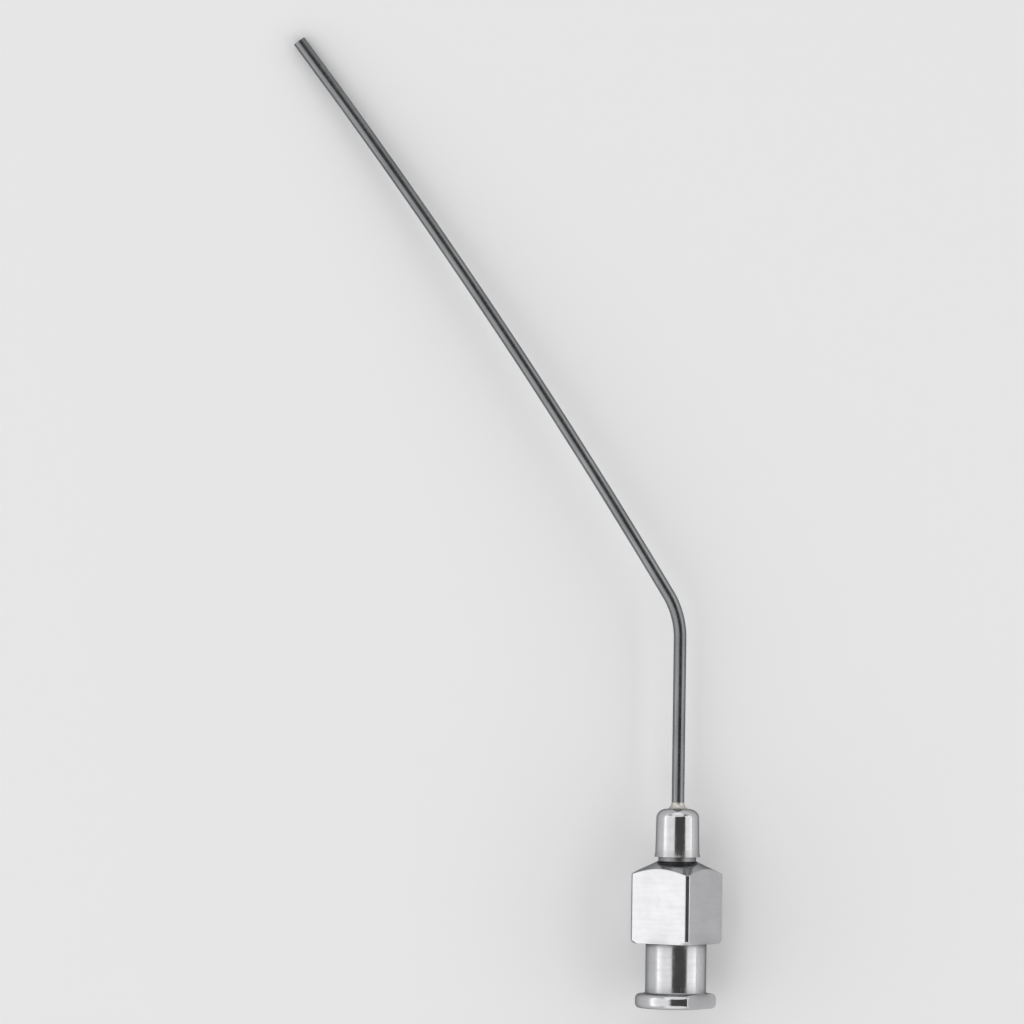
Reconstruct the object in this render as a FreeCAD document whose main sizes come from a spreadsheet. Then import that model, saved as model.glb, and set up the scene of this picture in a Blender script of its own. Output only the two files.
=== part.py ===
import FreeCAD, Part

import math
import os

import Sketcher

# Angled suction tube: a thin bent steel tube, soldered into a turned and milled lock hub.
# It lies as it comes to rest, on a long edge of the hub's square block and on the tube's tip.
# The origin is the centre of the socket's mouth. +Y runs along the hub towards the tube,
# the tube bends towards -X, and +Z is up. Lengths are in millimetres and angles in degrees.

Vector = FreeCAD.Vector

SIZES = {
    # suction tube
    "tube_diameter": 1.2,
    "tube_wall": 0.13,
    "straight_run": 16.2,
    "bend_radius": 8.0,
    "bend_angle": 31.6,
    "bow_radius": 630.0,
    "bow_run": 60.2,
    "tip_run": 3.0,
    "tip_rounding": 0.05,
    # lock lugs and neck of the hub
    "lug_diameter": 7.8,
    "lug_flats": 5.9,
    "lug_thickness": 1.4,
    "lug_rim": 0.5,
    "neck_diameter": 5.8,
    "neck_length": 4.75,
    "neck_fillet": 0.2,
    # square block, its turned corners and the cone above it
    "block_diameter": 8.8,
    "block_flats": 6.5,
    "block_length": 6.6,
    "block_chamfer": 0.3,
    "flats_turn": 32.7,
    "shoulder_slope": 25.0,
    # relief groove and collar
    "groove_diameter": 3.6,
    "groove_width": 0.4,
    "collar_diameter": 4.2,
    "collar_top_diameter": 4.06,
    "collar_length": 4.56,
    "foot_bead": 0.09,
    "foot_bead_length": 0.35,
    "crown_diameter": 2.4,
    "crown_length": 0.7,
    "crown_radius": 1.0,
    # tapered socket, and the bore that seats the tube
    "socket_diameter": 4.3,
    "socket_taper": 0.06,
    "socket_depth": 8.0,
    "socket_chamfer": 0.15,
    "drill_point": 118.0,
    "seat_stop": 0.95,
    # soldered joint
    "solder_gap": 0.05,
    "solder_cup": 0.3,
    "solder_reach": 0.4,
    "solder_height": 0.67,
    "solder_radius": 0.75,
}


def fill_sheet(document):
    """Write every size into the sheet as a number with an alias."""
    sheet = document.addObject("Spreadsheet::Sheet", "Sizes")
    for row, (name, value) in enumerate(SIZES.items(), start=1):
        sheet.set(f"A{row}", name)
        sheet.set(f"B{row}", str(value))
        sheet.setAlias(f"B{row}", name)
    document.recompute()
    return sheet


def half(name):
    """Formula for the radius that belongs to a diameter of the sheet."""
    return f"Sizes.{name} / 2"


# Radii, as formulas that read the sheet
TUBE_RADIUS = half("tube_diameter")
LUMEN_RADIUS = f"({TUBE_RADIUS} - Sizes.tube_wall)"
BORE_RADIUS = f"({TUBE_RADIUS} + Sizes.solder_gap)"
CUP_RADIUS = f"({BORE_RADIUS} + Sizes.solder_cup)"
SOLDER_RADIUS = f"({TUBE_RADIUS} + Sizes.solder_reach)"
SOCKET_END_RADIUS = f"({half('socket_diameter')} - Sizes.socket_depth * Sizes.socket_taper / 2)"

# Levels along the hub, from the mouth of the socket to the top of the collar
BLOCK_FOOT = "Sizes.lug_thickness + Sizes.neck_length"
BLOCK_TOP = f"{BLOCK_FOOT} + Sizes.block_length"
SHOULDER_WIDTH = f"({half('block_diameter')} - {half('groove_diameter')})"
SHOULDER_RISE = f"{SHOULDER_WIDTH} * tan(Sizes.shoulder_slope * 1 deg)"
SHOULDER_TOP = f"{BLOCK_TOP} + {SHOULDER_RISE}"
COLLAR_FOOT = f"{SHOULDER_TOP} + Sizes.groove_width"
HUB_TOP = f"{COLLAR_FOOT} + Sizes.collar_length"
DRILL_RISE = f"({SOCKET_END_RADIUS} - {LUMEN_RADIUS}) / tan(Sizes.drill_point / 2 * 1 deg)"
DRILL_TOP = f"Sizes.socket_depth + {DRILL_RISE}"
TUBE_SEAT = f"{DRILL_TOP} + Sizes.seat_stop"
STRAIGHT_RUN = f"{HUB_TOP} - ({TUBE_SEAT}) + Sizes.straight_run"

# The tube's tip stands this far to the side of the hub's axis
BEND = "Sizes.bend_angle * 1 deg"
BOW = "Sizes.bow_run / Sizes.bow_radius * 1 rad"
BEND_OFFSET = f"Sizes.bend_radius * (1 - cos({BEND}))"
BOW_OFFSET = f"Sizes.bow_radius * (cos({BEND}) - cos({BEND} + {BOW}))"
RUN_OFFSET = f"Sizes.tip_run * sin({BEND} + {BOW})"
TIP_OFFSET = f"({BEND_OFFSET} + {BOW_OFFSET} + {RUN_OFFSET})"

# At rest the whole piece is rolled about the hub's axis until the tip meets the floor.
# The block stands on the edge between a flat and the turned land at its lowest corner.
CORNER_RADIUS = f"min({half('block_diameter')}; Sizes.block_flats / sqrt(2))"
LAND_HALF_ANGLE = f"(45 deg - acos(Sizes.block_flats / 2 / {CORNER_RADIUS}))"
EDGE_TURN = f"(45 deg - Sizes.flats_turn * 1 deg - {LAND_HALF_ANGLE})"
ROLL_WIDTH = f"({TIP_OFFSET} - {CORNER_RADIUS} * sin({EDGE_TURN}))"
ROLL_HEIGHT = f"({CORNER_RADIUS} * cos({EDGE_TURN}))"
ROLL_SPAN = f"sqrt({ROLL_WIDTH} * {ROLL_WIDTH} + {ROLL_HEIGHT} * {ROLL_HEIGHT})"
REST_ROLL = f"(atan2({ROLL_HEIGHT}; {ROLL_WIDTH}) - asin({TUBE_RADIUS} / {ROLL_SPAN}))"
REST_PLACEMENT = f"placement(vector(0; 0; 0); rotation(vector(0; 1; 0); -{REST_ROLL}))"


def new_body(document, name):
    """A body in the pose that the finished piece rests in."""
    body = document.addObject("PartDesign::Body", name)
    body.Label = name
    body.setExpression("Placement", REST_PLACEMENT)
    return body


def new_sketch(body, name, role):
    """A sketch on one of the body's own origin planes."""
    sketch = body.newObject("Sketcher::SketchObject", name)
    plane = next(item for item in body.Origin.OriginFeatures if item.Role == role)
    sketch.AttachmentSupport = (plane, "")
    sketch.MapMode = "FlatFace"
    return sketch


def bind(sketch, constraint, name, formula):
    """Add a constraint and let the sheet drive it."""
    index = sketch.addConstraint(constraint)
    sketch.renameConstraint(index, name)
    sketch.setExpression(f"Constraints.{name}", formula)


def place_point(sketch, segment, end, name, across, along):
    """Hold a point by its distances from the sketch's origin."""
    if across == "0":
        sketch.addConstraint(Sketcher.Constraint("PointOnObject", segment, end, -2))
    else:
        value = sketch.evalExpression(across)
        constraint = Sketcher.Constraint("DistanceX", -1, 1, segment, end, value)
        bind(sketch, constraint, f"{name}_across", across)
    if along == "0":
        sketch.addConstraint(Sketcher.Constraint("PointOnObject", segment, end, -1))
    else:
        value = sketch.evalExpression(along)
        constraint = Sketcher.Constraint("DistanceY", -1, 1, segment, end, value)
        bind(sketch, constraint, f"{name}_along", along)


def arc_between(start, end, radius, side):
    """Arc between two points that bulges to the right of the way for side 1, to the left for -1.

    A sketch keeps every arc anticlockwise, so one that bulges to the left runs from end to start.
    """
    chord = end - start
    right = Vector(chord.y, -chord.x, 0).normalize()
    depth = math.sqrt(radius**2 - chord.Length**2 / 4)
    centre = (start + end) * 0.5 - right * (depth * side)
    first, last = (start, end) if side > 0 else (end, start)
    first_angle = math.atan2(first.y - centre.y, first.x - centre.x)
    last_angle = math.atan2(last.y - centre.y, last.x - centre.x)
    circle = Part.Circle(centre, Vector(0, 0, 1), radius)
    return Part.ArcOfCircle(circle, first_angle, last_angle)


def turned_profile(body, name, corners, arcs):
    """Closed half section beside the hub's axis.

    Each corner is (name, formula across, formula along). An arc is kept under the name of the
    corner where it starts, as (formula of its radius, side).
    """
    sketch = new_sketch(body, name, "XY_Plane")
    points = []
    for _, across, along in corners:
        x = sketch.evalExpression(across)
        y = sketch.evalExpression(along)
        points.append(Vector(float(x), float(y), 0))
    ends = []
    for index, (label, _, _) in enumerate(corners):
        start = points[index]
        end = points[(index + 1) % len(points)]
        if label in arcs:
            formula, side = arcs[label]
            radius = sketch.evalExpression(formula)
            segment = sketch.addGeometry(arc_between(start, end, radius, side))
            forward = side > 0
        else:
            segment = sketch.addGeometry(Part.LineSegment(start, end))
            forward = True
        ends.append((segment, 1, 2) if forward else (segment, 2, 1))
    for index, (label, across, along) in enumerate(corners):
        segment, first, _ = ends[index]
        before, _, last = ends[index - 1]
        sketch.addConstraint(Sketcher.Constraint("Coincident", before, last, segment, first))
        place_point(sketch, segment, first, label, across, along)
        if label in arcs:
            formula, _ = arcs[label]
            radius = Sketcher.Constraint("Radius", segment, sketch.evalExpression(formula))
            bind(sketch, radius, f"{label}_radius", formula)
    return sketch


def turn(body, kind, name, profile):
    """Revolve a profile about the hub's axis, as added or removed material."""
    feature = body.newObject(kind, name)
    feature.Profile = profile
    feature.ReferenceAxis = (profile, ["V_Axis"])
    feature.Angle = 360
    return feature


def mill_flats(body, name, foot, depth, width, length):
    """Cut everything from a stretch of the hub that lies outside a centred rectangle."""
    sketch = new_sketch(body, f"{name}_outline", "XZ_Plane")
    sketch.setExpression("AttachmentOffset.Base.z", f"-({foot})")
    sketch.setExpression("AttachmentOffset.Rotation.Angle", "Sizes.flats_turn * 1 deg")
    reach = "Sizes.block_diameter"
    waste = Part.Circle(Vector(0, 0, 0), Vector(0, 0, 1), sketch.evalExpression(reach))
    ring = sketch.addGeometry(waste)
    sketch.addConstraint(Sketcher.Constraint("Coincident", ring, 3, -1, 1))
    radius = Sketcher.Constraint("Radius", ring, sketch.evalExpression(reach))
    bind(sketch, radius, "waste_radius", reach)
    half_width = sketch.evalExpression(width) / 2
    half_length = sketch.evalExpression(length) / 2
    signs = [(-1, -1), (1, -1), (1, 1), (-1, 1)]
    points = [Vector(half_width * across, half_length * along, 0) for across, along in signs]
    sides = []
    for index, start in enumerate(points):
        end = points[(index + 1) % len(points)]
        sides.append(sketch.addGeometry(Part.LineSegment(start, end)))
    for index, side in enumerate(sides):
        sketch.addConstraint(Sketcher.Constraint("Coincident", sides[index - 1], 2, side, 1))
        direction = "Horizontal" if index % 2 == 0 else "Vertical"
        sketch.addConstraint(Sketcher.Constraint(direction, side))
    sketch.addConstraint(Sketcher.Constraint("Symmetric", sides[0], 1, sides[2], 1, -1, 1))
    across = Sketcher.Constraint("DistanceX", sides[0], 1, sides[0], 2, 2 * half_width)
    bind(sketch, across, "width", width)
    along = Sketcher.Constraint("DistanceY", sides[1], 1, sides[1], 2, 2 * half_length)
    bind(sketch, along, "length", length)
    pocket = body.newObject("PartDesign::Pocket", name)
    pocket.Profile = sketch
    pocket.setExpression("Length", depth)
    return pocket


def make_hub(document):
    """Hub, turned from bar, with a milled block and lugs and a bore from end to end."""
    body = new_body(document, "lock_hub")
    lug_edge = f"({half('lug_diameter')} - Sizes.lug_rim)"
    bead_radius = f"({half('collar_diameter')} + Sizes.foot_bead)"
    corners = [
        ("mouth", "0", "0"),
        ("lug_face", lug_edge, "0"),
        ("lug_rim", half("lug_diameter"), "Sizes.lug_rim"),
        ("lug_back", half("lug_diameter"), "Sizes.lug_thickness - Sizes.lug_rim"),
        ("lug_top", lug_edge, "Sizes.lug_thickness"),
        ("neck_root", f"{half('neck_diameter')} + Sizes.neck_fillet", "Sizes.lug_thickness"),
        ("neck_foot", half("neck_diameter"), "Sizes.lug_thickness + Sizes.neck_fillet"),
        ("neck_top", half("neck_diameter"), BLOCK_FOOT),
        ("block_face", f"{half('block_diameter')} - Sizes.block_chamfer", BLOCK_FOOT),
        ("block_foot", half("block_diameter"), f"{BLOCK_FOOT} + Sizes.block_chamfer"),
        ("block_top", half("block_diameter"), BLOCK_TOP),
        ("shoulder_top", half("groove_diameter"), SHOULDER_TOP),
        ("groove_top", half("groove_diameter"), COLLAR_FOOT),
        ("bead", bead_radius, COLLAR_FOOT),
        ("collar_foot", half("collar_diameter"), f"{COLLAR_FOOT} + Sizes.foot_bead_length"),
        ("crown_foot", half("collar_top_diameter"), f"{HUB_TOP} - Sizes.crown_length"),
        ("crown_top", half("crown_diameter"), HUB_TOP),
        ("top", "0", HUB_TOP),
    ]
    arcs = {
        "lug_face": ("Sizes.lug_rim", 1),
        "lug_back": ("Sizes.lug_rim", 1),
        "neck_root": ("Sizes.neck_fillet", -1),
        "crown_foot": ("Sizes.crown_radius", 1),
    }
    blank = turned_profile(body, "turned_outline", corners, arcs)
    turn(body, "PartDesign::Revolution", "turned_blank", blank)
    mill_flats(
        body, "block_flats", BLOCK_FOOT, f"Sizes.block_length + {SHOULDER_RISE}",
        "Sizes.block_flats", "Sizes.block_flats",
    )
    mill_flats(
        body, "lug_flats", "0", "Sizes.lug_thickness + Sizes.neck_fillet",
        "Sizes.lug_flats", "Sizes.lug_diameter + Sizes.lug_rim",
    )
    bore_corners = [
        ("mouth", "0", "0"),
        ("mouth_edge", f"{half('socket_diameter')} + Sizes.socket_chamfer", "0"),
        ("taper_start", half("socket_diameter"), "Sizes.socket_chamfer"),
        ("taper_end", SOCKET_END_RADIUS, "Sizes.socket_depth"),
        ("drill_top", LUMEN_RADIUS, DRILL_TOP),
        ("stop_edge", LUMEN_RADIUS, TUBE_SEAT),
        ("seat_edge", BORE_RADIUS, TUBE_SEAT),
        ("cup_foot", BORE_RADIUS, f"{HUB_TOP} - Sizes.solder_cup"),
        ("cup_top", CUP_RADIUS, HUB_TOP),
        ("top", "0", HUB_TOP),
    ]
    bore = turned_profile(body, "bore_outline", bore_corners, {})
    turn(body, "PartDesign::Groove", "bore", bore)
    return body


def make_tube(document):
    """Tube with a straight run, one tight bend and a long slight bow up to its straight tip."""
    body = new_body(document, "suction_tube")
    path = new_sketch(body, "tube_path", "XY_Plane")
    seat = path.evalExpression(TUBE_SEAT)
    run = path.evalExpression(STRAIGHT_RUN)
    bend = math.radians(SIZES["bend_angle"])
    bow = SIZES["bow_run"] / SIZES["bow_radius"]
    up = Vector(0, 0, 1)
    line = Part.LineSegment(Vector(0, seat, 0), Vector(0, seat + run, 0))
    bend_centre = Vector(-SIZES["bend_radius"], seat + run, 0)
    bend_arc = Part.ArcOfCircle(Part.Circle(bend_centre, up, SIZES["bend_radius"]), 0, bend)
    inward = Vector(math.cos(bend), math.sin(bend), 0)
    bow_centre = bend_arc.EndPoint - inward * SIZES["bow_radius"]
    bow_circle = Part.Circle(bow_centre, up, SIZES["bow_radius"])
    bow_arc = Part.ArcOfCircle(bow_circle, bend, bend + bow)
    heading = Vector(-math.sin(bend + bow), math.cos(bend + bow), 0)
    tip = bow_arc.EndPoint + heading * SIZES["tip_run"]
    for stretch in (line, bend_arc, bow_arc, Part.LineSegment(bow_arc.EndPoint, tip)):
        path.addGeometry(stretch)
    path.addConstraint(Sketcher.Constraint("PointOnObject", 0, 1, -2))
    path.addConstraint(Sketcher.Constraint("Vertical", 0))
    bind(path, Sketcher.Constraint("DistanceY", -1, 1, 0, 1, seat), "seat", TUBE_SEAT)
    bind(path, Sketcher.Constraint("Distance", 0, run), "straight", STRAIGHT_RUN)
    path.addConstraint(Sketcher.Constraint("Tangent", 0, 2, 1, 1))
    bend_radius = Sketcher.Constraint("Radius", 1, SIZES["bend_radius"])
    bind(path, bend_radius, "bend_radius", "Sizes.bend_radius")
    bind(path, Sketcher.Constraint("Angle", 1, bend), "bend_angle", BEND)
    path.addConstraint(Sketcher.Constraint("Tangent", 1, 2, 2, 1))
    bow_radius = Sketcher.Constraint("Radius", 2, SIZES["bow_radius"])
    bind(path, bow_radius, "bow_radius", "Sizes.bow_radius")
    bind(path, Sketcher.Constraint("Angle", 2, bow), "bow_angle", BOW)
    path.addConstraint(Sketcher.Constraint("Tangent", 2, 2, 3, 1))
    bind(path, Sketcher.Constraint("Distance", 3, SIZES["tip_run"]), "tip_run", "Sizes.tip_run")

    section = new_sketch(body, "tube_section", "XZ_Plane")
    section.setExpression("AttachmentOffset.Base.z", f"-({TUBE_SEAT})")
    for name, formula in (("outside", TUBE_RADIUS), ("inside", LUMEN_RADIUS)):
        radius = section.evalExpression(formula)
        ring = section.addGeometry(Part.Circle(Vector(0, 0, 0), up, radius))
        section.addConstraint(Sketcher.Constraint("Coincident", ring, 3, -1, 1))
        bind(section, Sketcher.Constraint("Radius", ring, radius), name, formula)
    document.recompute()

    drawn = body.newObject("PartDesign::AdditivePipe", "drawn_tube")
    drawn.Profile = section
    drawn.Spine = (path, ["Edge1", "Edge2", "Edge3", "Edge4"])
    document.recompute()
    check_tube_volume(drawn.Shape, path.Shape.Length)

    tip = path.Geometry[3].EndPoint
    near_tip = [
        f"Edge{number}"
        for number, edge in enumerate(drawn.Shape.Edges, start=1)
        if edge.CenterOfMass.distanceToPoint(tip) < SIZES["tube_wall"]
    ]
    rounding = body.newObject("PartDesign::Fillet", "tip_rounding")
    rounding.Base = (drawn, near_tip)
    rounding.setExpression("Radius", "Sizes.tip_rounding")
    return body


def check_tube_volume(shape, length):
    """Stop if the swept tube doesn't hold its section times its length."""
    outside = SIZES["tube_diameter"] / 2
    inside = outside - SIZES["tube_wall"]
    expected = math.pi * (outside**2 - inside**2) * length
    if round(shape.Volume / expected, 3) != 1:
        raise ValueError(f"the tube holds {shape.Volume}, not {expected}")


def make_solder(document):
    """Solder that fills the gap round the tube and its cup, and rises to a hollow fillet."""
    body = new_body(document, "solder_joint")
    corners = [
        ("film_foot", TUBE_RADIUS, TUBE_SEAT),
        ("film_edge", BORE_RADIUS, TUBE_SEAT),
        ("cup_foot", BORE_RADIUS, f"{HUB_TOP} - Sizes.solder_cup"),
        ("cup_top", CUP_RADIUS, HUB_TOP),
        ("fillet_foot", SOLDER_RADIUS, HUB_TOP),
        ("fillet_top", TUBE_RADIUS, f"{HUB_TOP} + Sizes.solder_height"),
    ]
    arcs = {"fillet_foot": ("Sizes.solder_radius", -1)}
    profile = turned_profile(body, "solder_outline", corners, arcs)
    turn(body, "PartDesign::Revolution", "flowed_solder", profile)
    return body


def check_document(document):
    """Stop if a feature failed, a sketch is loose or a cut removed nothing."""
    for item in document.Objects:
        if "Invalid" in item.State or "Error" in item.State:
            raise ValueError(f"{item.Name} failed: {item.State}")
        if item.TypeId == "Sketcher::SketchObject" and not item.FullyConstrained:
            raise ValueError(f"{item.Name} isn't fully constrained")
        if item.TypeId in ("PartDesign::Pocket", "PartDesign::Groove"):
            if item.Shape.Volume >= item.BaseFeature.Shape.Volume:
                raise ValueError(f"{item.Name} cuts nothing")


def write_parts(bodies):
    """Write each body's solid to a file with the body's name."""
    os.makedirs("parts", exist_ok=True)
    for body in bodies:
        if body.Shape.isNull() or not body.Shape.isValid():
            raise ValueError(f"{body.Label} has no valid shape")
        if len(body.Shape.Solids) != 1:
            raise ValueError(f"{body.Label} has {len(body.Shape.Solids)} solids")
        body.Shape.exportStep(f"parts/{body.Label}.step")


def main():
    document = FreeCAD.newDocument("angled_suction_tube")
    fill_sheet(document)
    bodies = [make_tube(document), make_hub(document), make_solder(document)]
    document.recompute()
    check_document(document)
    write_parts(bodies)


main()
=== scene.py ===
import math

import bmesh
import bpy
import numpy as np
from mathutils import Matrix, Vector


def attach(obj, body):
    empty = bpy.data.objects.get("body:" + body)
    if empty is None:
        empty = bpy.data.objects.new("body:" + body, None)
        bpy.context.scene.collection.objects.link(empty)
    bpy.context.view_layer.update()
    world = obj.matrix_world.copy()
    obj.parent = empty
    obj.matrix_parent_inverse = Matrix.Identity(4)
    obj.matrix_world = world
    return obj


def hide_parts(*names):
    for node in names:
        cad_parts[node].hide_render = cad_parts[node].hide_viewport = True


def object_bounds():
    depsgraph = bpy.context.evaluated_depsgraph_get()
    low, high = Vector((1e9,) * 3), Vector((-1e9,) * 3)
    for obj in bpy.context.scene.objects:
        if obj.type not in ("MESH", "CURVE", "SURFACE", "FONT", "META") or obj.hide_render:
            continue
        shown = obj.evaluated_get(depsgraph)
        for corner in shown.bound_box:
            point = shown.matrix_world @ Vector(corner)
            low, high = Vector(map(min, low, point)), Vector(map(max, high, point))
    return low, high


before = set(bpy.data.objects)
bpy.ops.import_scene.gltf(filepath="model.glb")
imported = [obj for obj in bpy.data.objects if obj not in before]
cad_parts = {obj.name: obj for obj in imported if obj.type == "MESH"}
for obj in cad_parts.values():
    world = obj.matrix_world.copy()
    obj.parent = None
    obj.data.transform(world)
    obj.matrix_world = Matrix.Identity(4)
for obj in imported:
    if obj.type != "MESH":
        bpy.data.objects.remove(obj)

CAD_BOX = [[float(value) for value in corner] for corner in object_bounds()]

# Sizes are in millimetres, as the piece is made. Meshes are in metres.
MM = 0.001

# Suction tube
TUBE_RADIUS = 0.6
TUBE_WALL = 0.13
STRAIGHT_RUN = 16.2
BEND_RADIUS = 8.0
BEND_ANGLE = math.radians(31.6)
BOW_RADIUS = 630.0
BOW_RUN = 60.2
TIP_RUN = 3.0
TIP_EASE = 0.055

# Hub, from the socket's mouth upwards
LUG_RADIUS = 3.9
LUG_HALF_FLATS = 2.95
LUG_THICKNESS = 1.4
LUG_RIM = 0.5
NECK_RADIUS = 2.9
NECK_LENGTH = 4.75
NECK_FILLET = 0.2
BLOCK_RADIUS = 4.4
BLOCK_HALF_FLATS = 3.25
BLOCK_LENGTH = 6.6
BLOCK_CHAMFER = 0.3
FLATS_TURN = math.radians(32.7)
SHOULDER_SLOPE = math.tan(math.radians(25.0))
GROOVE_RADIUS = 1.8
GROOVE_WIDTH = 0.4
COLLAR_RADIUS = 2.1
COLLAR_TOP_RADIUS = 2.03
COLLAR_LENGTH = 4.56
FOOT_BEAD = 0.09
FOOT_BEAD_LENGTH = 0.35
CROWN_TOP_RADIUS = 1.2
CROWN_LENGTH = 0.7
CROWN_RADIUS = 1.0
SOCKET_RADIUS = 2.15
SOCKET_TAPER = 0.03
SOCKET_DEPTH = 8.0
SOCKET_CHAMFER = 0.15
DRILL_SLOPE = math.tan(math.radians(59.0))
SEAT_STOP = 0.95

# Soldered joint. Its reach and height fall short of these, in waves, by up to the two last shares.
SOLDER_GAP = 0.05
SOLDER_CUP = 0.3
SOLDER_REACH = 0.4
SOLDER_HEIGHT = 0.67
SOLDER_RADIUS = 0.75
REACH_WAVE = 0.07
HEIGHT_WAVE = 0.12

# Softened edges: the size of an eased corner and of the blend between turned and milled faces
EDGE_EASE = 0.05
EDGE_BLEND = 0.06

# An eased corner takes at most EASE_SHARE of a side, and keeps a point at BEYOND_END times the
# ease on each side. Corners that open wider than FLAT_CORNER stay as they are.
EASE_SHARE = 0.38
BEYOND_END = 1.25
FLAT_CORNER = math.radians(165)

# Sizes that follow from those above
LUMEN_RADIUS = TUBE_RADIUS - TUBE_WALL
BORE_RADIUS = TUBE_RADIUS + SOLDER_GAP
MOUTH_RADIUS = SOCKET_RADIUS + SOCKET_CHAMFER
NECK_START = LUG_THICKNESS + NECK_FILLET
BLOCK_FOOT = LUG_THICKNESS + NECK_LENGTH
BLOCK_TOP = BLOCK_FOOT + BLOCK_LENGTH
SHOULDER_TOP = BLOCK_TOP + (BLOCK_RADIUS - GROOVE_RADIUS) * SHOULDER_SLOPE
CONE_END = SHOULDER_TOP - 2 * EDGE_EASE * SHOULDER_SLOPE
CONE_END_RADIUS = BLOCK_RADIUS - (CONE_END - BLOCK_TOP) / SHOULDER_SLOPE
COLLAR_FOOT = SHOULDER_TOP + GROOVE_WIDTH
HUB_TOP = COLLAR_FOOT + COLLAR_LENGTH
TAPER_END_RADIUS = SOCKET_RADIUS - SOCKET_DEPTH * SOCKET_TAPER
DRILL_TOP = SOCKET_DEPTH + (TAPER_END_RADIUS - LUMEN_RADIUS) / DRILL_SLOPE
TUBE_SEAT = DRILL_TOP + SEAT_STOP
BOW_ANGLE = BOW_RUN / BOW_RADIUS
END_ANGLE = BEND_ANGLE + BOW_ANGLE
BEND_START = HUB_TOP - TUBE_SEAT + STRAIGHT_RUN
BEND_END = BEND_START + BEND_RADIUS * BEND_ANGLE
BOW_END = BEND_END + BOW_RUN
TUBE_LENGTH = BOW_END + TIP_RUN

# Angle from a flat's normal to the block's edge beside it
EDGE_ANGLE = math.acos(BLOCK_HALF_FLATS / BLOCK_RADIUS)

# Columns of the hub's mesh, in degrees: a step all round, closer ones across each edge of a flat,
# and how near to an edge the even ones stop
COLUMN_STEP = 2.0
EDGE_COLUMNS = [-1.8, -1.3, -0.9, -0.6, -0.3, 0.0, 0.3, 0.6, 0.9, 1.3, 1.8]
EDGE_CLEARANCE = 2.4

# Rows of the hub's mesh: heights over the block's foot, steps about the arch over a flat, and
# shares of the way across the block's underside, up its flats and up its cone. Elsewhere rows are
# no further apart than the outside's or the inside's step.
FOOT_RISES = np.array([0.0, 0.01, 0.022, 0.04, 0.06, 0.1, 0.16, 0.24, 0.3, 0.36, 0.45])
BROW_STEPS = np.array([-0.09, -0.05, -0.03, -0.015, 0.0, 0.015, 0.03, 0.05, 0.09])
LEDGE_SHARES = np.array([0.35, 0.7, 0.9])
SIDE_SHARES = np.linspace(0, 1, 9)[1:-1]
CONE_SHARES = np.linspace(0, 1, 6)[1:]
OUTSIDE_STEP = 0.4
INSIDE_STEP = 1.0

# Points on the half sections' arcs
RIM_POINTS = 13
FILLET_POINTS = 9
CROWN_POINTS = 12
SOLDER_POINTS = 18
EASE_POINTS = 5

# Columns and rows of the tube's mesh, the first row's distance past the seat, and the solder's
# columns
TUBE_COLUMNS = 56
FIRST_ROW = 1.0
STRAIGHT_ROWS = 14
BEND_ROWS = 26
BOW_ROWS = 50
TIP_ROWS = 6
SOLDER_COLUMNS = 96

# Points closer than the first distance are joined. Faces thinner than the second are taken out.
JOIN_DISTANCE = 0.0005
THIN_DISTANCE = 0.0002

# Painted shade in the hub's inner corners and socket: how far it spreads from a corner, its share
# in the socket, and the heights over the mouth at which it starts there and over which it rises
SHADE_SPREAD = 0.28
SOCKET_SHADE = 0.35
SOCKET_SHADE_START = 1.0
SOCKET_SHADE_RISE = 3.0

# Distances over which the lumen's painted shade deepens from the tip, and over which the solder's
# rim fades
LUMEN_FADE = 2.0
RIM_SPREAD = 0.08


def rest_roll():
    """Turn about the hub's axis at which both the block's lowest edge and the tip touch the floor.

    With the tip w to the side of that edge's vertical and the edge h under the axis, both in the
    plane of the tube, the turn is atan(h / w) less asin(tube radius / distance to the edge).
    """
    land = math.pi / 4 - EDGE_ANGLE
    edge = math.pi / 4 - FLATS_TURN - land
    offset = BEND_RADIUS * (1 - math.cos(BEND_ANGLE))
    offset += BOW_RADIUS * (math.cos(BEND_ANGLE) - math.cos(END_ANGLE))
    offset += TIP_RUN * math.sin(END_ANGLE)
    width = offset - BLOCK_RADIUS * math.sin(edge)
    height = BLOCK_RADIUS * math.cos(edge)
    return math.atan2(height, width) - math.asin(TUBE_RADIUS / math.hypot(width, height))


ROLL = rest_roll()
SIDE = Vector((math.cos(ROLL), 0.0, math.sin(ROLL)))
ALONG = Vector((0.0, 1.0, 0.0))
FACE = Vector((-math.sin(ROLL), 0.0, math.cos(ROLL)))
FLOOR_HEIGHT = CAD_BOX[0][2]


def at_rest(across, along, depth):
    """Points given in the tube's own plane, turned about the hub's axis to the resting pose."""
    x = across * math.cos(ROLL) - depth * math.sin(ROLL)
    z = across * math.sin(ROLL) + depth * math.cos(ROLL)
    return np.stack(np.broadcast_arrays(x, along, z), axis=-1)


def smooth_min(first, second, blend):
    """The smaller of two values, less a quarter of blend times the square of their nearness."""
    nearness = np.clip(blend - np.abs(first - second), 0.0, None) / blend
    return np.minimum(first, second) - nearness**2 * blend / 4


def between(start, end, shares):
    """Rows at given shares of the way from one row to another."""
    return start + (end - start) * shares[:, None]


# Half sections, as points of radius and height

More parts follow.
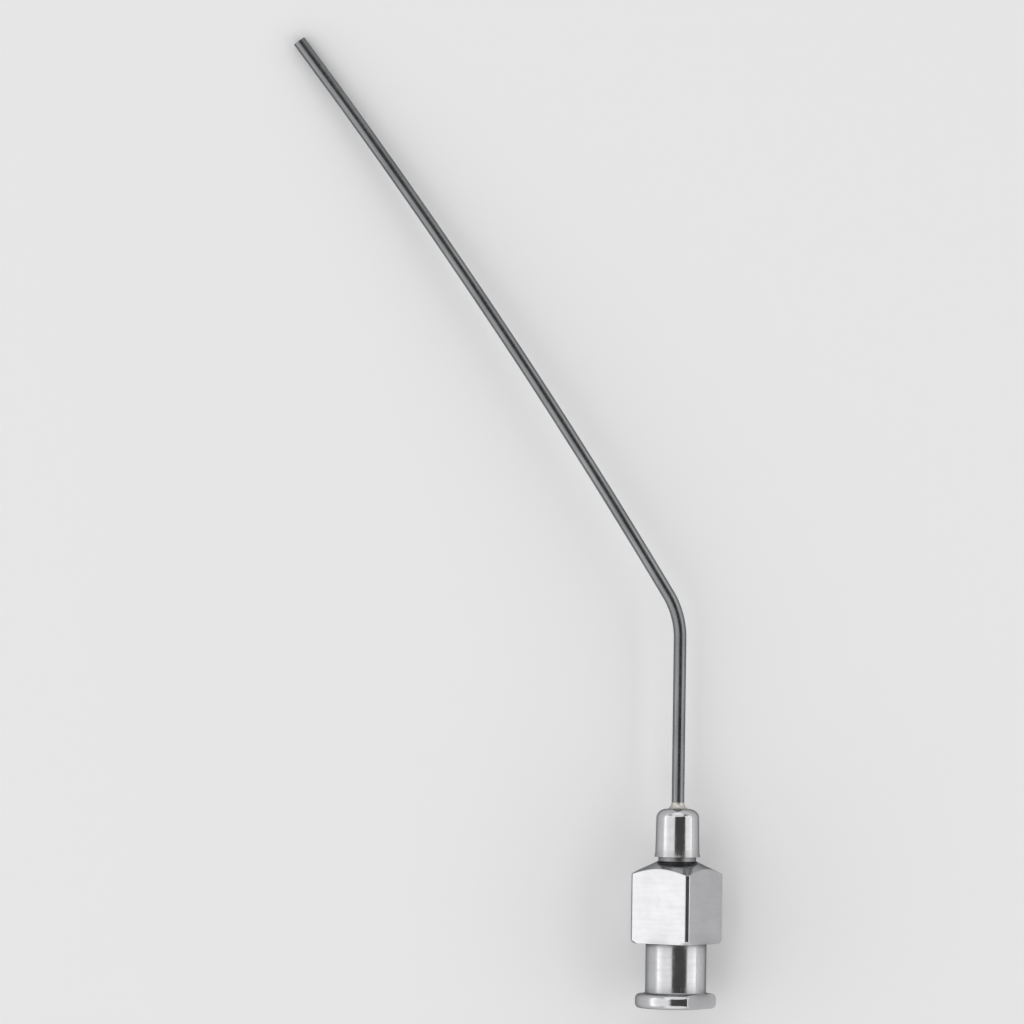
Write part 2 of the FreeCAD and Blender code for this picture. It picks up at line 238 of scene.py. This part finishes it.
def eased(points, ease):
    """Half section with each sharp corner replaced by a parabola between its two sides.

    The curve is (1-t)^2 A + 2t(1-t) corner + t^2 B, with one more point kept on each side.
    """
    points = [np.asarray(point, float) for point in points]
    share = np.linspace(0.0, 1.0, EASE_POINTS)[:, None]
    result = [points[0]]
    for before, corner, after in zip(points, points[1:], points[2:]):
        back = before - corner
        ahead = after - corner
        reach_back = np.linalg.norm(back)
        reach_ahead = np.linalg.norm(ahead)
        turn = np.dot(back, ahead) / (reach_back * reach_ahead)
        if turn < math.cos(FLAT_CORNER):
            result.append(corner)
            continue
        size = min(ease, EASE_SHARE * reach_back, EASE_SHARE * reach_ahead)
        back = back / reach_back * size
        ahead = ahead / reach_ahead * size
        start = corner + back
        end = corner + ahead
        curve = (1 - share)**2 * start + 2 * share * (1 - share) * corner + share**2 * end
        result.append(corner + back * BEYOND_END)
        result.extend(curve)
        result.append(corner + ahead * BEYOND_END)
    result.append(points[-1])
    return np.array(result)


def subdivided(points, step):
    """The same line with points no further apart than step."""
    stretches = []
    for start, end in zip(points[:-1], points[1:]):
        count = max(1, math.ceil(np.linalg.norm(end - start) / step))
        share = np.arange(count)[:, None] / count
        stretches.append(start + (end - start) * share)
    return np.concatenate(stretches + [points[-1:]])


def arc(centre, radius, start, end, count):
    """Points on a circle, from one angle to another in degrees."""
    angle = np.radians(np.linspace(start, end, count))
    return np.stack([centre[0] + radius * np.cos(angle), centre[1] + radius * np.sin(angle)], -1)


def arc_through(start, end, radius, side, count):
    """Arc between two points, which bulges to the right of the way for side 1, to the left for -1."""
    start = np.asarray(start, float)
    end = np.asarray(end, float)
    chord = end - start
    length = np.linalg.norm(chord)
    right = np.array([chord[1], -chord[0]]) / length
    centre = (start + end) / 2 - right * side * math.sqrt(radius**2 - length**2 / 4)
    first = math.degrees(math.atan2(*(start - centre)[::-1]))
    last = math.degrees(math.atan2(*(end - centre)[::-1]))
    last += 360 * round((first - last) / 360)
    return arc(centre, radius, first, last, count)


# Meshes over a grid of rows and columns that both run back to their start

def ring_faces(rows, columns):
    """Corner numbers of the grid's four-sided faces."""
    row = np.arange(rows)[:, None]
    column = np.arange(columns)[None, :]
    next_row = (row + 1) % rows
    next_column = (column + 1) % columns
    corners = [
        row * columns + column,
        row * columns + next_column,
        next_row * columns + next_column,
        next_row * columns + column,
    ]
    return np.stack([np.broadcast_to(item, (rows, columns)) for item in corners], -1)


def ring_distances(points, around):
    """Real distances at each face's corners: u about the surface and v along it."""
    steps = np.linalg.norm(np.roll(points, -1, axis=0) - points, axis=2).mean(axis=1)
    along = np.concatenate([[0.0], np.cumsum(steps)])
    u = np.stack([around[:-1], around[1:], around[1:], around[:-1]], -1)
    v = np.stack([along[:-1], along[:-1], along[1:], along[1:]], -1)
    return np.stack(np.broadcast_arrays(u[None, :, :], v[:, None, :]), -1)


def looks_inwards(points, faces):
    """Whether the faces look inwards, by the sign of the volume that they enclose."""
    first, second, third, fourth = (points[faces[:, index]] for index in range(4))
    volume = np.einsum("ij,ij->i", first, np.cross(second, third)).sum()
    volume += np.einsum("ij,ij->i", first, np.cross(third, fourth)).sum()
    return volume < 0


def close_gaps(mesh):
    """Join points that lie on each other, and take out faces without area."""
    work = bmesh.new()
    work.from_mesh(mesh)
    bmesh.ops.remove_doubles(work, verts=work.verts, dist=JOIN_DISTANCE * MM)
    bmesh.ops.dissolve_degenerate(work, edges=work.edges, dist=THIN_DISTANCE * MM)
    work.to_mesh(mesh)
    work.free()
    mesh.update()


def ring_mesh(name, points, around, attributes):
    """Closed surface over the grid of points, with its UV map and its values at each point.

    The points are in millimetres. around is each column's distance about the surface.
    """
    rows, columns, _ = points.shape
    faces = ring_faces(rows, columns).reshape(-1, 4)
    uv = ring_distances(points, around).reshape(-1, 4, 2)
    points = points.reshape(-1, 3)
    if looks_inwards(points, faces):
        faces = faces[:, ::-1]
        uv = uv[:, ::-1]
    mesh = bpy.data.meshes.new(name)
    mesh.from_pydata((points * MM).tolist(), [], faces.tolist())
    layer = mesh.uv_layers.new(name="surface")
    layer.data.foreach_set("uv", (uv * MM).reshape(-1).astype(np.float32))
    for label, values in attributes.items():
        attribute = mesh.attributes.new(label, "FLOAT", "POINT")
        attribute.data.foreach_set("value", values.reshape(-1).astype(np.float32))
    close_gaps(mesh)
    mesh.shade_smooth()
    piece = bpy.data.objects.new(name, mesh)
    bpy.context.scene.collection.objects.link(piece)
    return piece


def finish_piece(piece, node, material):
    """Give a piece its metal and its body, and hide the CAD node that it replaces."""
    piece.data.materials.append(material)
    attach(piece, "root")
    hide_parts(node)


# Hub

def hub_columns():
    """Angles about the hub from a flat's normal, closer together across each edge of a flat."""
    even = np.radians(np.arange(0, 360, COLUMN_STEP))
    quarters = np.arange(4) * math.pi / 2
    edges = np.concatenate([quarters + EDGE_ANGLE, quarters - EDGE_ANGLE])
    close = (edges[:, None] + np.radians(EDGE_COLUMNS)).reshape(-1) % math.tau
    gap = np.abs((even[:, None] - edges[None, :] + math.pi) % math.tau - math.pi).min(axis=1)
    return np.sort(np.concatenate([even[gap > math.radians(EDGE_CLEARANCE)], close]))


def distances_to_flats(angle):
    """Distance from the axis to the block's four flats, and to the flange's two.

    Each is half the distance between flats over the cosine of the angle from the flat's normal.
    """
    cosine = np.abs(np.cos(angle))
    block = BLOCK_HALF_FLATS / np.maximum(cosine, np.abs(np.sin(angle)))
    flange = LUG_HALF_FLATS / np.maximum(cosine, LUG_HALF_FLATS / (2 * LUG_RADIUS))
    return block, flange


def edge_inset(height):
    """Depth of a quarter round of radius EDGE_EASE at a height above the face that it meets."""
    rest = np.clip(EDGE_EASE - height, 0.0, EDGE_EASE)
    return EDGE_EASE - np.sqrt(EDGE_EASE**2 - rest**2)


def flange_and_neck(flats):
    """Radius, height and milled share of the rows from the mouth's edge to the block's foot.

    The radius is the smaller of the turned outline and, up to the neck's start, the flats.
    """
    rim_foot = (LUG_RADIUS - LUG_RIM, LUG_RIM)
    rim_top = (LUG_RADIUS - LUG_RIM, LUG_THICKNESS - LUG_RIM)
    fillet = (NECK_RADIUS + NECK_FILLET, NECK_START)
    outline = np.concatenate([
        [[MOUTH_RADIUS + 2 * EDGE_EASE, 0.0]],
        arc(rim_foot, LUG_RIM, -90, 0, RIM_POINTS),
        arc(rim_top, LUG_RIM, 0, 90, RIM_POINTS),
        arc(fillet, NECK_FILLET, 270, 180, FILLET_POINTS),
        [[NECK_RADIUS, BLOCK_FOOT], [NECK_RADIUS + 2 * EDGE_EASE, BLOCK_FOOT]],
    ])
    outline = subdivided(eased(outline, EDGE_EASE), OUTSIDE_STEP)
    turned = outline[:, :1]
    height = outline[:, 1:]
    limit = np.where(height <= NECK_START, flats - edge_inset(height), math.inf)
    radius = smooth_min(turned, limit, EDGE_BLEND)
    milled = np.clip((turned - limit) / EDGE_BLEND, 0, 1)
    return radius, np.broadcast_to(height, radius.shape), milled


def block_heights(flats):
    """Heights of the block's rows, which follow the arch where each flat meets the cone.

    The arch stands over the block's top by the cone's slope times how far the flat cuts in.
    """
    reach = smooth_min(BLOCK_RADIUS, flats, EDGE_BLEND)
    brow = BLOCK_TOP + (BLOCK_RADIUS - reach) * SHOULDER_SLOPE
    foot = BLOCK_FOOT + FOOT_RISES
    return np.concatenate([
        foot[:, None] + np.zeros_like(flats),
        between(foot[-1], brow + BROW_STEPS[0], SIDE_SHARES),
        brow + BROW_STEPS[:, None],
        between(brow + BROW_STEPS[-1], CONE_END, CONE_SHARES),
    ])


def block_surface(height, flats):
    """Radius and milled share of the block's rows.

    The radius is the smallest of the chamfer, the cylinder, the cone and the flats, blended
    where two of them meet.
    """
    chamfer = BLOCK_RADIUS - BLOCK_CHAMFER + (height - BLOCK_FOOT)
    cone = BLOCK_RADIUS - (height - BLOCK_TOP) / SHOULDER_SLOPE
    turned = smooth_min(chamfer, BLOCK_RADIUS, EDGE_BLEND)
    turned = smooth_min(turned, cone, EDGE_BLEND)
    limit = flats - edge_inset(height - BLOCK_FOOT)
    milled = np.clip((turned - limit) / EDGE_BLEND, 0, 1)
    return smooth_min(turned, limit, EDGE_BLEND), milled


def collar_and_socket():
    """Half section from the cone's end over the collar, and back inside to the mouth's edge."""
    crown_foot = (COLLAR_TOP_RADIUS, HUB_TOP - CROWN_LENGTH)
    crown_top = (CROWN_TOP_RADIUS, HUB_TOP)
    outside = np.concatenate([
        [[CONE_END_RADIUS, CONE_END], [GROOVE_RADIUS, SHOULDER_TOP], [GROOVE_RADIUS, COLLAR_FOOT]],
        [[COLLAR_RADIUS + FOOT_BEAD, COLLAR_FOOT], [COLLAR_RADIUS, COLLAR_FOOT + FOOT_BEAD_LENGTH]],
        arc_through(crown_foot, crown_top, CROWN_RADIUS, 1, CROWN_POINTS),
        [[BORE_RADIUS + SOLDER_CUP, HUB_TOP], [BORE_RADIUS, HUB_TOP - SOLDER_CUP]],
    ])
    inside = np.array([
        [BORE_RADIUS, HUB_TOP - SOLDER_CUP], [BORE_RADIUS, TUBE_SEAT], [LUMEN_RADIUS, TUBE_SEAT],
        [LUMEN_RADIUS, DRILL_TOP], [TAPER_END_RADIUS, SOCKET_DEPTH],
        [SOCKET_RADIUS, SOCKET_CHAMFER], [MOUTH_RADIUS, 0.0], [MOUTH_RADIUS + EDGE_EASE, 0.0],
    ])
    outside = subdivided(eased(outside, EDGE_EASE), OUTSIDE_STEP)
    inside = subdivided(eased(inside, EDGE_EASE), INSIDE_STEP)
    return np.concatenate([outside[1:], inside[1:]])


def hub_grid(angle):
    """Radius, height and milled share of the hub's rows, each for every angle about it."""
    block_flats, flange_flats = distances_to_flats(angle)
    lower_radius, lower_height, lower_milled = flange_and_neck(flange_flats)
    side_height = block_heights(block_flats)
    side_radius, side_milled = block_surface(side_height, block_flats)
    ledge_radius = between(lower_radius[-1:], side_radius[:1], LEDGE_SHARES)
    section = collar_and_socket()
    upper_shape = (len(section), len(angle))
    radius = np.concatenate([
        lower_radius, ledge_radius, side_radius, np.broadcast_to(section[:, :1], upper_shape),
    ])
    height = np.concatenate([
        lower_height, np.full_like(ledge_radius, BLOCK_FOOT), side_height,
        np.broadcast_to(section[:, 1:], upper_shape),
    ])
    milled = np.concatenate([
        lower_milled, np.zeros_like(ledge_radius), side_milled, np.zeros(upper_shape),
    ])
    return radius, height, milled


def make_hub(material):
    """Turned and milled hub: a radius for each angle and row, carried round the hub's axis."""
    angle = hub_columns()
    radius, height, milled = hub_grid(angle)
    turn = angle + FLATS_TURN
    points = at_rest(radius * np.cos(turn), height, radius * np.sin(turn))
    # Painted shade, kept in recess: dark near the inner corners of the outline, and in the bore from
    # above the mouth up to the tube's seat. The same share also roughens the plating.
    corners = [
        (NECK_RADIUS, LUG_THICKNESS), (NECK_RADIUS, BLOCK_FOOT),
        (GROOVE_RADIUS, SHOULDER_TOP), (GROOVE_RADIUS, COLLAR_FOOT),
    ]
    gaps = [np.hypot(radius - corner[0], height - corner[1]) for corner in corners]
    recess = np.exp(-np.min(gaps, axis=0) / SHADE_SPREAD)
    inside = np.clip((height - SOCKET_SHADE_START) / SOCKET_SHADE_RISE, 0, 1)
    inside = inside * (radius < SOCKET_RADIUS) * (height < TUBE_SEAT)
    around = np.concatenate([angle, [angle[0] + math.tau]]) * NECK_RADIUS
    attributes = {"milled": milled, "recess": np.maximum(recess, SOCKET_SHADE * inside)}
    piece = ring_mesh("turned_hub", points, around, attributes)
    finish_piece(piece, "lock_hub", material)


# Tube

def tube_axis(distance):
    """Centre line of the tube: a line, an arc, a wide arc and a line, one after the other."""
    line = np.minimum(distance, BEND_START)
    bend = np.clip(distance - BEND_START, 0, BEND_END - BEND_START) / BEND_RADIUS
    bow = np.clip(distance - BEND_END, 0, BOW_RUN) / BOW_RADIUS
    run = np.clip(distance - BOW_END, 0, None)
    after = BEND_ANGLE + bow
    across = -BEND_RADIUS * (1 - np.cos(bend))
    across -= BOW_RADIUS * (math.cos(BEND_ANGLE) - np.cos(after))
    across -= run * math.sin(END_ANGLE)
    along = TUBE_SEAT + line + BEND_RADIUS * np.sin(bend)
    along += BOW_RADIUS * (np.sin(after) - math.sin(BEND_ANGLE))
    along += run * math.cos(END_ANGLE)
    return across, along, bend + bow


def make_tube(material):
    """Open tube: a closed wall section of radius and distance, carried along the centre line."""
    stations = np.concatenate([
        np.linspace(FIRST_ROW, BEND_START, STRAIGHT_ROWS),
        np.linspace(BEND_START, BEND_END, BEND_ROWS)[1:],
        np.linspace(BEND_END, BOW_END, BOW_ROWS)[1:],
        np.linspace(BOW_END, TUBE_LENGTH - 3 * TIP_EASE, TIP_ROWS)[1:],
    ])
    outside = np.stack([np.full_like(stations, TUBE_RADIUS), stations], -1)
    inside = np.stack([np.full_like(stations, LUMEN_RADIUS), stations], -1)[::-1]
    tip = [outside[-1], (TUBE_RADIUS, TUBE_LENGTH), (LUMEN_RADIUS, TUBE_LENGTH), inside[0]]
    seat = [inside[-1], (LUMEN_RADIUS, 0.0), (TUBE_RADIUS, 0.0), outside[0]]
    wall = np.concatenate([
        outside[:-1], eased(tip, TIP_EASE), inside[1:-1], eased(seat, TIP_EASE)[:-1],
    ])
    radius = wall[:, :1]
    distance = wall[:, 1:]
    angle = np.linspace(0, math.tau, TUBE_COLUMNS, endpoint=False)
    across, along, heading = tube_axis(distance)
    reach = radius * np.cos(angle)
    points = at_rest(
        across + reach * np.cos(heading), along + reach * np.sin(heading), radius * np.sin(angle)
    )
    # Painted shade on the tube's inside wall, deepening from the tip inwards
    lumen = np.clip((TUBE_RADIUS - radius) / TUBE_WALL, 0, 1)
    depth = np.clip((TUBE_LENGTH - distance) / LUMEN_FADE, 0, 1)
    recess = np.broadcast_to(lumen * depth, points.shape[:2])
    around = np.linspace(0, math.tau, TUBE_COLUMNS + 1) * TUBE_RADIUS
    piece = ring_mesh("bent_tube", points, around, {"recess": recess})
    finish_piece(piece, "suction_tube", material)


# Solder

def make_solder(material):
    """Flowed solder: its section turned about the hub, and waved from the hub's top upwards.

    The reach is waved by cosines of two and five turns, the height by those of one and three.
    """
    top = HUB_TOP + SOLDER_HEIGHT
    edge = TUBE_RADIUS + SOLDER_REACH
    outline = np.concatenate([
        [[TUBE_RADIUS, TUBE_SEAT], [BORE_RADIUS, TUBE_SEAT], [BORE_RADIUS, HUB_TOP - SOLDER_CUP]],
        [[BORE_RADIUS + SOLDER_CUP, HUB_TOP]],
        arc_through((edge, HUB_TOP), (TUBE_RADIUS, top), SOLDER_RADIUS, -1, SOLDER_POINTS),
    ])
    angle = np.linspace(0, math.tau, SOLDER_COLUMNS, endpoint=False)
    spread = 0.5 + 0.3 * np.cos(2 * angle + 0.8) + 0.2 * np.cos(5 * angle)
    climb = 0.5 + 0.35 * np.cos(angle - 0.6) + 0.15 * np.cos(3 * angle)
    above = outline[:, 1:] >= HUB_TOP
    radius = outline[:, :1] + np.zeros_like(angle)
    height = outline[:, 1:] + np.zeros_like(angle)
    proud = radius - TUBE_RADIUS
    radius = np.where(above, TUBE_RADIUS + proud * (1 - REACH_WAVE * spread), radius)
    height = np.where(above, HUB_TOP + (height - HUB_TOP) * (1 - HEIGHT_WAVE * climb), height)
    points = at_rest(radius * np.cos(angle), height, radius * np.sin(angle))
    around = np.linspace(0, math.tau, SOLDER_COLUMNS + 1) * edge
    rim = np.exp(-np.abs(radius - edge) / RIM_SPREAD) * above
    piece = ring_mesh("solder_fillet", points, around, {"recess": rim})
    finish_piece(piece, "solder_joint", material)


# Finishes. Colours are red, green, blue and cover. Noise scales are counts in a metre.
PLATING_TINT = (0.34, 0.35, 0.37, 1.0)
PLATING_DULL = (0.55, 0.55, 0.56, 1.0)
PLATING_BRIGHT = (0.62, 0.62, 0.63, 1.0)
PLATING_SMUDGE = (0.49, 0.49, 0.50, 1.0)
PLATING_BAND = (0.47, 0.47, 0.48, 1.0)
# Near black of the painted shade in the hub's corners and socket
PLATING_PAINTED_SHADE = (0.08, 0.08, 0.08, 1.0)
STEEL_TINT = (0.35, 0.36, 0.38, 1.0)
STEEL_DARK = (0.20, 0.205, 0.21, 1.0)
STEEL_PALE = (0.29, 0.295, 0.30, 1.0)
STEEL_LINE = (0.15, 0.155, 0.16, 1.0)
# Near black of the painted shade inside the tube's lumen
STEEL_LUMEN_SHADE = (0.03, 0.03, 0.03, 1.0)
SOLDER_TINT = (0.5, 0.5, 0.5, 1.0)
SOLDER_DARK = (0.50, 0.48, 0.44, 1.0)
SOLDER_PALE = (0.64, 0.62, 0.57, 1.0)
SOLDER_RIM = (0.12, 0.11, 0.10, 1.0)
NOISE_ROUGHNESS = 0.55


class Finish:
    """One metal finish and the few nodes that its patterns are made of."""

    def __init__(self, name, edge_tint):
        self.material = bpy.data.materials.new(name)
        self.material.use_nodes = True
        self.tree = self.material.node_tree
        self.shader = self.tree.nodes["Principled BSDF"]
        self.shader.inputs["Metallic"].default_value = 1.0
        self.shader.inputs["Specular Tint"].default_value = edge_tint

    def feed(self, socket, value):
        """Give an input another node's output, or a fixed value."""
        if isinstance(value, bpy.types.NodeSocket):
            self.tree.links.new(value, socket)
        else:
            socket.default_value = value

    def node(self, kind, inputs=None, **settings):
        """New node with its settings and inputs."""
        node = self.tree.nodes.new(kind)
        for key, value in settings.items():
            setattr(node, key, value)
        for key, value in (inputs or {}).items():
            self.feed(node.inputs[key], value)
        return node

    def attribute(self, name):
        """Value that the mesh holds at each point."""
        return self.node("ShaderNodeAttribute", attribute_name=name).outputs["Fac"]

    def coordinates(self):
        """Distances over the surface, and the place in the piece."""
        surface = self.node("ShaderNodeUVMap", uv_map="surface").outputs["UV"]
        place = self.node("ShaderNodeTexCoord").outputs["Object"]
        return surface, place

    def noise(self, source, scale, detail=3.0):
        """Noise with the same scale every way."""
        inputs = {"Vector": source, "Scale": scale, "Detail": detail, "Roughness": NOISE_ROUGHNESS}
        return self.node("ShaderNodeTexNoise", inputs).outputs["Fac"]

    def streaks(self, source, scales, detail=3.0):
        """Noise with a scale for each way, so that it turns into lines."""
        stretched = self.node("ShaderNodeMapping", {"Vector": source, "Scale": scales})
        return self.noise(stretched.outputs["Vector"], 1.0, detail)

    def ranged(self, source, low, high, start=0.3, end=0.7):
        """Values from start to end spread over low to high."""
        inputs = {"Value": source, "From Min": start, "From Max": end, "To Min": low, "To Max": high}
        return self.node("ShaderNodeMapRange", inputs).outputs["Result"]

    def product(self, first, second):
        """One value times another."""
        node = self.node("ShaderNodeMath", {0: first, 1: second}, operation="MULTIPLY")
        return node.outputs["Value"]

    def total(self, first, *others):
        """Sum of values, added one after the other."""
        for other in others:
            node = self.node("ShaderNodeMath", {0: first, 1: other}, operation="ADD")
            first = node.outputs["Value"]
        return first

    def mixed(self, share, first, second):
        """Colour between two colours, which are given or come from other nodes."""
        node = self.node("ShaderNodeMix", data_type="RGBA")
        inputs = {item.identifier: item for item in node.inputs}
        self.feed(inputs["Factor_Float"], share)
        self.feed(inputs["A_Color"], first)
        self.feed(inputs["B_Color"], second)
        return next(item for item in node.outputs if item.identifier == "Result_Color")

    def connect(self, colour, roughness, height, depth, strength):
        """Lead colour, roughness and fine relief to the shader, and give back the material."""
        relief = {"Height": height, "Distance": depth, "Strength": strength}
        self.feed(self.shader.inputs["Base Color"], colour)
        self.feed(self.shader.inputs["Roughness"], roughness)
        self.feed(self.shader.inputs["Normal"], self.node("ShaderNodeBump", relief).outputs["Normal"])
        return self.material


def plated_finish():
    """Bright plating: rings on the turned faces, straight marks on the milled ones, and painted shade
    that darkens the corners and the socket, where the plating is also rougher."""
    finish = Finish("bright_plating", PLATING_TINT)
    surface, place = finish.coordinates()
    rings = finish.streaks(surface, (120.0, 16000.0, 1.0))
    marks = finish.streaks(place, (500.0, 14000.0, 500.0))
    turned_bands = finish.streaks(surface, (60.0, 2600.0, 1.0), detail=2.0)
    cutter_bands = finish.streaks(place, (250.0, 2400.0, 250.0), detail=2.0)
    haze = finish.noise(place, 420.0, detail=5.0)
    smudge = finish.noise(place, 1100.0, detail=4.0)
    scratch = finish.streaks(place, (9000.0, 700.0, 2500.0), detail=2.0)
    milled = finish.attribute("milled")
    recess = finish.attribute("recess")
    grain = finish.mixed(milled, rings, marks)
    bands = finish.mixed(milled, turned_bands, cutter_bands)
    # Painted shade: the recess share, broken up by the haze, darkens the corners and the socket to
    # near black
    painted_shade = finish.product(recess, finish.ranged(haze, 0.5, 1.0))
    smudged = finish.ranged(smudge, 0.0, 0.3, start=0.45, end=0.75)
    colour = finish.mixed(finish.ranged(haze, 0.0, 1.0), PLATING_DULL, PLATING_BRIGHT)
    colour = finish.mixed(smudged, colour, PLATING_SMUDGE)
    colour = finish.mixed(finish.ranged(bands, 0.0, 0.3), colour, PLATING_BAND)
    colour = finish.mixed(painted_shade, colour, PLATING_PAINTED_SHADE)
    roughness = finish.total(
        finish.ranged(haze, 0.08, 0.14),
        finish.ranged(bands, 0.0, 0.07),
        finish.ranged(smudge, 0.0, 0.05, start=0.45, end=0.75),
        finish.ranged(scratch, 0.0, 0.10, start=0.55, end=0.75),
        finish.product(recess, 0.25),
    )
    return finish.connect(colour, roughness, grain, depth=0.004 * MM, strength=0.35)


def drawn_steel_finish():
    """Drawn steel: hair lines along the tube, faint rings of handling, and painted shade in the
    lumen.
    """
    finish = Finish("drawn_steel", STEEL_TINT)
    surface, place = finish.coordinates()
    lines = finish.streaks(surface, (12000.0, 160.0, 1.0), detail=4.0)
    wipes = finish.streaks(surface, (500.0, 2500.0, 1.0))
    haze = finish.noise(place, 160.0, detail=4.0)
    recess = finish.attribute("recess")
    colour = finish.mixed(finish.ranged(haze, 0.0, 1.0), STEEL_DARK, STEEL_PALE)
    colour = finish.mixed(finish.ranged(lines, 0.0, 0.6), colour, STEEL_LINE)
    # Painted shade inside the lumen
    colour = finish.mixed(recess, colour, STEEL_LUMEN_SHADE)
    roughness = finish.total(finish.ranged(lines, 0.16, 0.30), finish.ranged(wipes, 0.0, 0.08))
    return finish.connect(colour, roughness, lines, depth=0.004 * MM, strength=0.5)


def solder_finish():
    """Silver solder: satin, a little yellow, with a flowed skin and a darker rim."""
    finish = Finish("silver_solder_skin", SOLDER_TINT)
    _, place = finish.coordinates()
    flow = finish.noise(place, 3200.0, detail=4.0)
    haze = finish.noise(place, 900.0)
    recess = finish.attribute("recess")
    colour = finish.mixed(finish.ranged(haze, 0.0, 1.0), SOLDER_DARK, SOLDER_PALE)
    colour = finish.mixed(finish.product(recess, 0.7), colour, SOLDER_RIM)
    roughness = finish.ranged(flow, 0.26, 0.46)
    return finish.connect(colour, roughness, flow, depth=0.02 * MM, strength=0.6)


# Floor and surroundings. The floor's reach is in metres.
FLOOR_REACH = 3.0
FLOOR_COLOUR = (0.9, 0.9, 0.9, 1.0)
FLOOR_ROUGHNESS = 0.9
FLOOR_SHEEN = 0.1
WHITE = (1.0, 1.0, 1.0, 1.0)

# The surroundings' strength at the horizon and overhead, and how steep overhead starts: the
# upward part of a direction of length 1
HORIZON_STRENGTH = 1.0
OVERHEAD_STRENGTH = 0.08
OVERHEAD_START = 0.6


def make_floor():
    """Plain pale floor under the piece."""
    signs = np.array([[-1, -1], [1, -1], [1, 1], [-1, 1]], float)
    corners = np.column_stack([signs * FLOOR_REACH, np.full(4, FLOOR_HEIGHT)])
    mesh = bpy.data.meshes.new("floor")
    mesh.from_pydata(corners.tolist(), [], [(0, 1, 2, 3)])
    floor = bpy.data.objects.new("floor", mesh)
    bpy.context.scene.collection.objects.link(floor)
    material = bpy.data.materials.new("pale_floor")
    material.use_nodes = True
    paint = material.node_tree.nodes["Principled BSDF"]
    paint.inputs["Base Color"].default_value = FLOOR_COLOUR
    paint.inputs["Roughness"].default_value = FLOOR_ROUGHNESS
    paint.inputs["Specular IOR Level"].default_value = FLOOR_SHEEN
    mesh.materials.append(material)


def make_world():
    """Even surroundings, pale at the horizon and dim overhead."""
    world = bpy.data.worlds.new("studio")
    bpy.context.scene.world = world
    world.use_nodes = True
    tree = world.node_tree
    background = tree.nodes["Background"]
    background.inputs["Color"].default_value = WHITE
    direction = tree.nodes.new("ShaderNodeTexCoord")
    parts = tree.nodes.new("ShaderNodeSeparateXYZ")
    shade = tree.nodes.new("ShaderNodeMapRange")
    shade.interpolation_type = "SMOOTHSTEP"
    shade.inputs["From Min"].default_value = 0.0
    shade.inputs["From Max"].default_value = OVERHEAD_START
    shade.inputs["To Min"].default_value = HORIZON_STRENGTH
    shade.inputs["To Max"].default_value = OVERHEAD_STRENGTH
    tree.links.new(direction.outputs["Generated"], parts.inputs["Vector"])
    tree.links.new(parts.outputs["Z"], shade.inputs["Value"])
    tree.links.new(shade.outputs["Result"], background.inputs["Strength"])


# Lamps and camera. Lamps are turned to the middle of the hub, and stand off by a distance in metres.
AIM = ALONG * (HUB_TOP / 2 * MM)
LAMP_DISTANCE = 0.6

# The camera's frame in millimetres: its height, the hub's lean in it, and the way from the mouth
# to its centre. The camera sees from CLIP_START to CLIP_END, in metres.
LENS = 300.0
SENSOR = 36.0
FRAME_HEIGHT = 97.28
HUB_LEAN = math.radians(0.75)
CENTRE_RIGHT = -15.51
CENTRE_UP = 47.12
CLIP_START = 0.01
CLIP_END = 20.0


def stand(thing, across, up, towards, place):
    """Stand a lamp or camera at a place, with its own x, y and z along three directions."""
    turn = Matrix((across, up, towards)).transposed().to_4x4()
    thing.matrix_world = Matrix.Translation(place) @ turn
    bpy.context.scene.collection.objects.link(thing)


def hang(lamp, side, lean):
    """Stand a lamp in a direction leaned from the view towards one side of the hub, in degrees."""
    angle = math.radians(lean)
    away = FACE * math.cos(angle) + side * math.sin(angle)
    up = FACE.cross(side)
    light = bpy.data.objects.new(lamp.name, lamp)
    stand(light, up.cross(away), up, away, AIM + away * LAMP_DISTANCE)


def soft_box(name, side, lean, half_width, half_length, brightness):
    """Soft box square to the hub. Half its width and length are angles as seen from the hub."""
    lamp = bpy.data.lights.new(name, "AREA")
    lamp.shape = "RECTANGLE"
    lamp.size = 2 * LAMP_DISTANCE * math.tan(math.radians(half_width))
    lamp.size_y = 2 * LAMP_DISTANCE * math.tan(math.radians(half_length))
    lamp.energy = brightness * math.pi * lamp.size * lamp.size_y
    hang(lamp, side, lean)


def far_light(name, side, lean, half_angle, brightness):
    """Round soft light from far off, which lights the whole floor alike.

    Its strength is its brightness times pi times the square of the sine of its half angle.
    """
    lamp = bpy.data.lights.new(name, "SUN")
    lamp.angle = math.radians(2 * half_angle)
    lamp.energy = brightness * math.pi * math.sin(math.radians(half_angle))**2
    hang(lamp, side, lean)


def make_camera():
    """Long lens square to the plane of the tube, with the hub leaning a little to the right."""
    right = SIDE * math.cos(HUB_LEAN) + ALONG * math.sin(HUB_LEAN)
    up = ALONG * math.cos(HUB_LEAN) - SIDE * math.sin(HUB_LEAN)
    mouth_to_centre = right * CENTRE_RIGHT + up * CENTRE_UP
    place = mouth_to_centre * MM + FACE * (FRAME_HEIGHT * LENS / SENSOR * MM)
    data = bpy.data.cameras.new("camera")
    data.lens = LENS
    data.sensor_width = SENSOR
    data.clip_start = CLIP_START
    data.clip_end = CLIP_END
    camera = bpy.data.objects.new("camera", data)
    stand(camera, right, up, FACE, place)
    bpy.context.scene.camera = camera


make_camera()
make_hub(plated_finish())
make_tube(drawn_steel_finish())
make_solder(solder_finish())
make_floor()
make_world()
soft_box("left_box", SIDE, -46.0, half_width=30.0, half_length=40.0, brightness=1.1)
soft_box("right_box", SIDE, 61.0, half_width=20.0, half_length=40.0, brightness=1.2)
far_light("head_light", ALONG, 52.0, half_angle=28.0, brightness=1.0)
far_light("foot_light", ALONG, -52.0, half_angle=28.0, brightness=1.0)
bpy.context.scene.view_settings.view_transform = "Standard"
